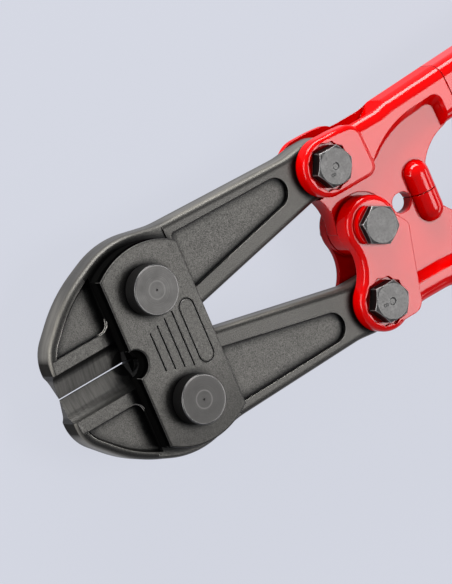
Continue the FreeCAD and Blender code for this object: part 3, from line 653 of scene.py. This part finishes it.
class FinishBolts(bpy.types.Operator):
    """Blasted steel on the bolts, nuts and washers, and bronze on the bush"""
    bl_idname = "boltcutters.finish_bolts"
    bl_label = "Finish bolts"

    def execute(self, context):
        settings = context.scene.bolt_cutters
        steel = blasted_steel(settings)
        for start in BOLT_BODY:
            dress(steel, start + "_bolt", start + "_nut", start + "_washer")
        dress(bearing_bronze(settings), "centre_pivot_bush")
        return {"FINISHED"}


class FinishLevers(bpy.types.Operator):
    """Red powder coat on the levers, the handle tubes and their rivets"""
    bl_idname = "boltcutters.finish_levers"
    bl_label = "Finish levers and tubes"

    def execute(self, context):
        settings = context.scene.bolt_cutters
        forging = powder_coat(settings, "red_powder_coat_on_forging", WALL_SHINE)
        tube = powder_coat(settings, "red_powder_coat_on_tube")
        for side in SIDES:
            dress(forging, side + "_lever")
            dress(tube, side + "_handle_tube", side + "_cross_pins")
        return {"FINISHED"}


# ---------------------------------------------------------------- grips
# Sizes of the sleeve are in millimetres, and distances run back from its front edge.
COLLAR_HALF_LENGTH = 0.0035     # in metres
# distance, width, height and corner radius
GRIP_STATIONS = ((0, 33, 28, 10), (12, 35, 30, 11), (40, 34, 29, 11), (90, 37.5, 32, 12),
                 (140, 35, 30, 12), (165, 37.5, 32.5, 13), (173, 39.4, 34.6, 13.5))
# the inner wall, 0.1 mm off the tube all round: width, height and corner radius
TUBE_SECTION = (29.2, 23.2, 7.0)
# the rounding of both ends: distance from the end, and how far the skin is drawn in
END_ROUNDING = ((0.0, 1.0), (0.25, 0.35), (0.8, 0.0))
RING_STEP = 0.6
# moulded rings and grooves: distance, height over the plain sleeve, and half width
RELIEF = ((3.5, 0.45, 1.1), (8.5, 0.45, 1.1), (15.0, -0.8, 0.9), (154.0, -0.8, 0.9),
          (159.0, 0.35, 1.0), (163.0, 0.35, 1.0))
NUBS_FROM, NUBS_TO = 20, 151


def handle_axes(side):
    """Matrix from a handle's own axes to the frame: x runs back along the tube from the front
    edge of the grip, and z stays up."""
    start, end = middle(side + "_grip_collar"), middle(side + "_end_plug")
    along = (end - start).normalized()
    up = Vector((0, 0, 1))
    across = up.cross(along)
    turn = Matrix((along, across, up)).transposed().to_4x4()
    return Matrix.Translation(start + along * COLLAR_HALF_LENGTH) @ turn


def grip_section(distance):
    """Width, height and corner radius at a distance, smoothly between the stations."""
    rows = GRIP_STATIONS
    k = max(0, min(len(rows) - 2, sum(1 for r in rows if r[0] <= distance) - 1))
    here, following = rows[k], rows[k + 1]
    t = (distance - here[0]) / (following[0] - here[0])
    t = t * t * (3 - 2 * t)
    return tuple(a + (b - a) * t for a, b in zip(here[1:], following[1:]))


def rounded_rectangle(width, height, radius, per_corner=8, per_side=4):
    """Closed loop of (y, z) points, in the units of its sizes."""
    points = []
    w, h, r = width / 2, height / 2, radius
    for quarter, (sy, sz) in enumerate(((1, 1), (-1, 1), (-1, -1), (1, -1))):
        centre = (sy * (w - r), sz * (h - r))
        for k in range(per_corner + 1):
            a = math.radians(90 * (quarter + k / per_corner))
            points.append((centre[0] + r * math.cos(a), centre[1] + r * math.sin(a)))
        across = (2 * (w - r), 2 * (h - r))[quarter % 2]
        step = ((-1, 0), (0, -1), (1, 0), (0, 1))[quarter]
        last = points[-1]
        for k in range(1, per_side):
            run = across * k / per_side
            points.append((last[0] + step[0] * run, last[1] + step[1] * run))
    return points


def sleeve_relief(distance):
    """Height of the moulded rings and grooves over the plain sleeve."""
    return sum(height * math.exp(-((distance - at) / reach) ** 2) for at, height, reach in RELIEF)


def grip_sleeve():
    """Mesh of the sleeve in handle axes, in metres: an outer skin, an inner wall on the tube."""
    def build(shape):
        length = GRIP_STATIONS[-1][0]
        start = END_ROUNDING[-1][0]
        steps = int((length - 2 * start) / RING_STEP)
        stops = list(END_ROUNDING)
        stops += [(start + RING_STEP * k, 0.0) for k in range(1, steps)]
        stops += [(length - stop, inset) for stop, inset in reversed(END_ROUNDING)]
        loops = []
        for stop, inset in stops:
            width, height, radius = grip_section(stop)
            out = sleeve_relief(stop) - inset
            loops.append((stop, rounded_rectangle(width + 2 * out, height + 2 * out,
                                                  radius + out)))
        loops += [(stop, rounded_rectangle(*TUBE_SECTION)) for stop in (length, 0.0)]
        rings = [[shape.verts.new((stop / 1000, y / 1000, z / 1000)) for y, z in loop]
                 for stop, loop in loops]
        count = len(rings[0])
        for k, ring in enumerate(rings):
            following = rings[(k + 1) % len(rings)]
            for i in range(count):
                j = (i + 1) % count
                shape.faces.new((ring[i], ring[j], following[j], following[i]))
    return mesh_from(build)


def nub_cage(pitch):
    """Mesh of loose points where the nubs sit, in handle axes, which hold the skin's normal.
    Every other row is shifted by a point."""
    points, normals = [], []
    for row in range(int((NUBS_TO - NUBS_FROM) / (pitch * 1000)) + 1):
        distance = NUBS_FROM + row * pitch * 1000
        loop = rounded_rectangle(*grip_section(distance), 3, 3)
        count = len(loop)
        for i in range(row % 2, count, 2):
            before, after = loop[i - 1], loop[(i + 1) % count]
            outwards = Vector((0, after[1] - before[1], before[0] - after[0])).normalized()
            normals.extend(outwards)
            points.append((distance / 1000, loop[i][0] / 1000, loop[i][1] / 1000))
    cage = bpy.data.meshes.new("nub_cage")
    cage.from_pydata(points, [], [])
    cage.attributes.new("skin_normal", "FLOAT_VECTOR", "POINT").data.foreach_set("vector", normals)
    return cage


def node_group(name, labels):
    """Geometry Nodes tree with an input for each label. Returns it and its inputs' sockets."""
    tree = bpy.data.node_groups.new(name, "GeometryNodeTree")
    face = tree.interface
    face.new_socket("Geometry", in_out="INPUT", socket_type="NodeSocketGeometry")
    for label in labels:
        face.new_socket(label, in_out="INPUT", socket_type="NodeSocketFloat")
    face.new_socket("Geometry", in_out="OUTPUT", socket_type="NodeSocketGeometry")
    return tree, add(tree, "NodeGroupInput", output=None).outputs


def nub_tree(material):
    """Geometry Nodes: a rounded nub on every point of the cage, turned to stand on the skin."""
    tree, given = node_group("grip_nubs", ("Nub length", "Nub width", "Nub height"))
    ball = add(tree, "GeometryNodeMeshIcoSphere", None, {"Radius": 0.5, "Subdivisions": 2})
    # half of each ball is inside the sleeve, so the ball is twice as high as the nub
    double = add(tree, "ShaderNodeMath", "MULTIPLY", (given["Nub height"], 2.0))
    size = add(tree, "ShaderNodeCombineXYZ", None,
               (given["Nub length"], given["Nub width"], double))
    normal = add(tree, "GeometryNodeInputNamedAttribute", {"data_type": "FLOAT_VECTOR"},
                 {"Name": "skin_normal"}, "Attribute")
    turn = add(tree, "FunctionNodeAlignRotationToVector", {"axis": "Z"}, {"Vector": normal})
    placed = add(tree, "GeometryNodeInstanceOnPoints", None, {
        "Points": given["Geometry"], "Instance": ball, "Rotation": turn, "Scale": size})
    real = add(tree, "GeometryNodeRealizeInstances", None, {"Geometry": placed})
    smooth = add(tree, "GeometryNodeSetShadeSmooth", None, {"Geometry": real})
    dressed = add(tree, "GeometryNodeSetMaterial", None, {
        "Geometry": smooth, "Material": material})
    add(tree, "NodeGroupOutput", None, {"Geometry": dressed}, None)
    return tree


def grown(mesh, tree, values):
    """Mesh that a Geometry Nodes tree makes from another, with its named inputs set."""
    holder = new_object("holder", mesh)
    modifier = holder.modifiers.new("nodes", "NODES")
    modifier.node_group = tree
    for item in tree.interface.items_tree:
        if item.in_out == "INPUT" and item.name in values:
            modifier[item.identifier] = values[item.name]
    return final_mesh(holder)


class BuildGrips(bpy.types.Operator):
    """Moulded grips with raised nubs, their collars and end plugs"""
    bl_idname = "boltcutters.build_grips"
    bl_label = "Build grips"

    def execute(self, context):
        settings = context.scene.bolt_cutters
        rubber = moulded("moulded_thermoplastic_rubber", settings.finish.rubber, 0.6)
        cap = moulded("moulded_polypropylene", colour("#2a2a2d"), 0.42)
        trim = moulded("red_moulded_polypropylene", colour("#c01212"), 0.35)
        sleeve = grip_sleeve()
        for polygon in sleeve.polygons:
            polygon.use_smooth = True
        sizes = settings.grip
        nubs = grown(nub_cage(sizes.row_pitch), nub_tree(rubber), {
            "Nub length": sizes.nub_length, "Nub width": sizes.nub_width,
            "Nub height": sizes.nub_height})
        for side in SIDES:
            place = handle_axes(side)
            body = side + "_handle"
            for name, made in (("_grip_sleeve", sleeve), ("_grip_nubs", nubs)):
                mesh = made.copy()
                mesh.transform(place)
                piece = new_piece(side + name, mesh, rubber, body)
                if name == "_grip_sleeve":
                    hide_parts(side + "_grip")
            dress(cap, side + "_end_plug")
            dress(trim, side + "_grip_collar")
        return {"FINISHED"}


# ---------------------------------------------------------------- threads and marks
# Sizes are in metres.
BOLT_RADIUS = 0.006
THREAD_START = 0.0004           # the bolt's end is plain up to here
NUMBER_SIZE = 0.0042
NUMBER_RELIEF = 0.00006         # over the head, and as far into it
NUMBER_OFFSET = 0.0047          # from the bolt's axis
NUMBER_ANGLES = {"upper": 225, "lower": 180}


def thread_tree(material):
    """Geometry Nodes: a helical ridge of a given radius, pitch and depth."""
    tree, given = node_group("bolt_thread", ("Radius", "Pitch", "Depth", "Turns"))
    rise = add(tree, "ShaderNodeMath", "MULTIPLY", (given["Pitch"], given["Turns"]))
    helix = add(tree, "GeometryNodeCurveSpiral", None, {
        "Resolution": 48, "Rotations": given["Turns"], "Start Radius": given["Radius"],
        "End Radius": given["Radius"], "Height": rise})
    ridge = add(tree, "GeometryNodeCurvePrimitiveCircle", {"mode": "RADIUS"}, {
        "Resolution": 6, "Radius": given["Depth"]})
    swept = add(tree, "GeometryNodeCurveToMesh", None, {
        "Curve": helix, "Profile Curve": ridge, "Fill Caps": True})
    real = add(tree, "GeometryNodeRealizeInstances", None, {"Geometry": swept})
    dressed = add(tree, "GeometryNodeSetMaterial", None, {"Geometry": real, "Material": material})
    add(tree, "NodeGroupOutput", None, {"Geometry": dressed}, None)
    return tree


class CutThreads(bpy.types.Operator):
    """Thread ridges on the bolt ends that stand out of the nuts"""
    bl_idname = "boltcutters.cut_threads"
    bl_label = "Cut threads"

    def execute(self, context):
        sizes = context.scene.bolt_cutters.thread
        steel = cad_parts["centre_pivot_bolt"].data.materials[0]
        tree = thread_tree(steel)
        for start, body in BOLT_BODY.items():
            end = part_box(start + "_bolt")[0].z
            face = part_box(start + "_nut")[0].z
            quarters = int((face - end - THREAD_START) / sizes.pitch * 4)
            mesh = grown(bpy.data.meshes.new("seed"), tree, {
                "Radius": BOLT_RADIUS, "Pitch": sizes.pitch, "Depth": sizes.depth,
                "Turns": quarters / 4})
            centre = middle(start + "_nut")
            mesh.transform(Matrix.Translation((centre.x, centre.y, end + THREAD_START)))
            new_piece(start + "_thread", mesh, steel, body)
        return {"FINISHED"}


class StampNumbers(bpy.types.Operator):
    """Setting number stamped on each adjusting bolt, beside its centre ring"""
    bl_idname = "boltcutters.stamp_numbers"
    bl_label = "Stamp numbers"
    number: StringProperty(name="Number", description="Plain setting number", default="8")

    def execute(self, context):
        stamp = stamped_recess()
        for side in SIDES:
            text = bpy.data.curves.new("number", "FONT")
            text.body = self.number
            text.size = NUMBER_SIZE
            text.extrude = NUMBER_RELIEF
            text.align_x, text.align_y = "CENTER", "CENTER"
            mesh = final_mesh(new_object("number", text))
            centre = middle(side + "_adjusting_nut")
            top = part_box(side + "_adjusting_bolt")[1].z
            angle = math.radians(NUMBER_ANGLES[side])
            place = Matrix.Translation((centre.x + NUMBER_OFFSET * math.cos(angle),
                                        centre.y + NUMBER_OFFSET * math.sin(angle), top))
            mesh.transform(place @ Matrix.Rotation(math.radians(-90), 4, "Z"))
            new_piece(side + "_bolt_number", mesh, stamp, side + "_handle")
        return {"FINISHED"}


# ---------------------------------------------------------------- stage
# Sizes and places are in metres.
TARGET = Vector((-0.26738, 0.00449, 0.0265))    # the point on the head that the camera faces
VIEW_WIDTH = 0.292                              # how much the camera takes in there
LAMP_DISTANCE = 1.1
FLOOR_HALF = 6


def lamp(name, target, way, width, height, radiance):
    """Softbox of a given radiance, which stands that way from its target and faces it."""
    data = bpy.data.lights.new(name, "AREA")
    data.shape = "RECTANGLE"
    data.size, data.size_y = width, height
    data.energy = radiance * width * height * math.pi
    holder = new_object(name, data)
    holder.location = target + way * LAMP_DISTANCE
    holder.rotation_euler = (target - holder.location).to_track_quat("-Z", "Y").to_euler()
    holder.visible_camera = False


def add_camera(scene, lens, side, up, back):
    data = bpy.data.cameras.new("camera")
    data.sensor_width = 36.0
    data.lens = lens
    data.clip_end = 20.0
    camera = new_object("camera", data)
    distance = VIEW_WIDTH * lens / data.sensor_width
    turn = Matrix((side, up, back)).transposed().to_4x4()
    camera.matrix_world = Matrix.Translation(TARGET + back * distance) @ turn
    scene.camera = camera


def add_world(scene, tint, strength):
    scene.world = bpy.data.worlds.new("studio")
    scene.world.use_nodes = True
    tree = scene.world.node_tree
    tree.nodes.clear()
    plain = add(tree, "ShaderNodeBackground", None, {"Color": tint, "Strength": strength})
    add(tree, "ShaderNodeOutputWorld", None, {"Surface": plain}, None)


class SetStage(bpy.types.Operator):
    """Pale floor, softboxes and the camera"""
    bl_idname = "boltcutters.set_stage"
    bl_label = "Set the stage"

    def execute(self, context):
        scene = context.scene
        settings = scene.bolt_cutters
        stage = settings.stage
        scene.view_settings.view_transform = "Standard"

        right = Vector((math.cos(stage.turn), -math.sin(stage.turn), 0))
        up = Vector((math.sin(stage.turn), math.cos(stage.turn), 0))
        sky = Vector((0, 0, 1))
        side = right * math.cos(stage.tilt) + sky * math.sin(stage.tilt)
        to_camera = sky * math.cos(stage.tilt) - right * math.sin(stage.tilt)
        add_camera(scene, stage.lens, side, up, to_camera)

        # the key stands where the flats mirror it to the camera
        mirror = sky * math.cos(stage.tilt) + right * math.sin(stage.tilt)
        above = TARGET + up * 0.03 - right * 0.02
        strip = up * 0.9 - right * 0.3 + sky * 0.22
        left = sky * 0.22 - right * 0.95 - up * 0.1
        rim = right * 0.9 + sky * 0.35
        lamp("key_softbox", above, mirror, 0.46, 0.48, stage.key)
        lamp("top_strip", TARGET, strip, 1.1, 0.4, stage.strip)
        lamp("left_softbox", TARGET, left, 1.1, 0.35, stage.left)
        lamp("rim_softbox", TARGET, rim, 1.0, 0.25, stage.rim)
        add_world(scene, settings.finish.floor, stage.fill)

        mesh = bpy.data.meshes.new("floor")
        corners = ((-1, -1), (1, -1), (1, 1), (-1, 1))
        mesh.from_pydata([(x * FLOOR_HALF, y * FLOOR_HALF, 0) for x, y in corners], [],
                         [(0, 1, 2, 3)])
        mesh.materials.append(painted_floor(settings))
        floor = new_object("floor", mesh)
        return {"FINISHED"}


class CutterPanel(bpy.types.Panel):
    """Sizes and colours of the bolt cutters, and the steps that build them"""
    bl_idname = "VIEW3D_PT_bolt_cutters"
    bl_label = "Bolt Cutters"
    bl_space_type = "VIEW_3D"
    bl_region_type = "UI"
    bl_category = "Bolt Cutters"

    def draw(self, context):
        settings = context.scene.bolt_cutters
        for group in (settings.finish, settings.grip, settings.thread, settings.stage):
            box = self.layout.box()
            for name in group.__annotations__:
                box.prop(group, name)
        for operator in OPERATORS:
            self.layout.operator(operator.bl_idname)


OPERATORS = (FinishHead, FinishPins, FinishBolts, FinishLevers, BuildGrips, CutThreads,
             StampNumbers, SetStage)
CLASSES = (FinishColours, GripSizes, ThreadSizes, StageSizes, CutterSettings, *OPERATORS,
           CutterPanel)


def register():
    for item in CLASSES:
        bpy.utils.register_class(item)
    bpy.types.Scene.bolt_cutters = PointerProperty(type=CutterSettings)


def unregister():
    del bpy.types.Scene.bolt_cutters
    for item in reversed(CLASSES):
        bpy.utils.unregister_class(item)


def main():
    register()
    bpy.ops.boltcutters.finish_head()
    bpy.ops.boltcutters.finish_pins()
    bpy.ops.boltcutters.finish_bolts()
    bpy.ops.boltcutters.finish_levers()
    bpy.ops.boltcutters.build_grips()
    bpy.ops.boltcutters.cut_threads()
    bpy.ops.boltcutters.stamp_numbers()
    bpy.ops.boltcutters.set_stage()


if __name__ == "__main__":
    main()
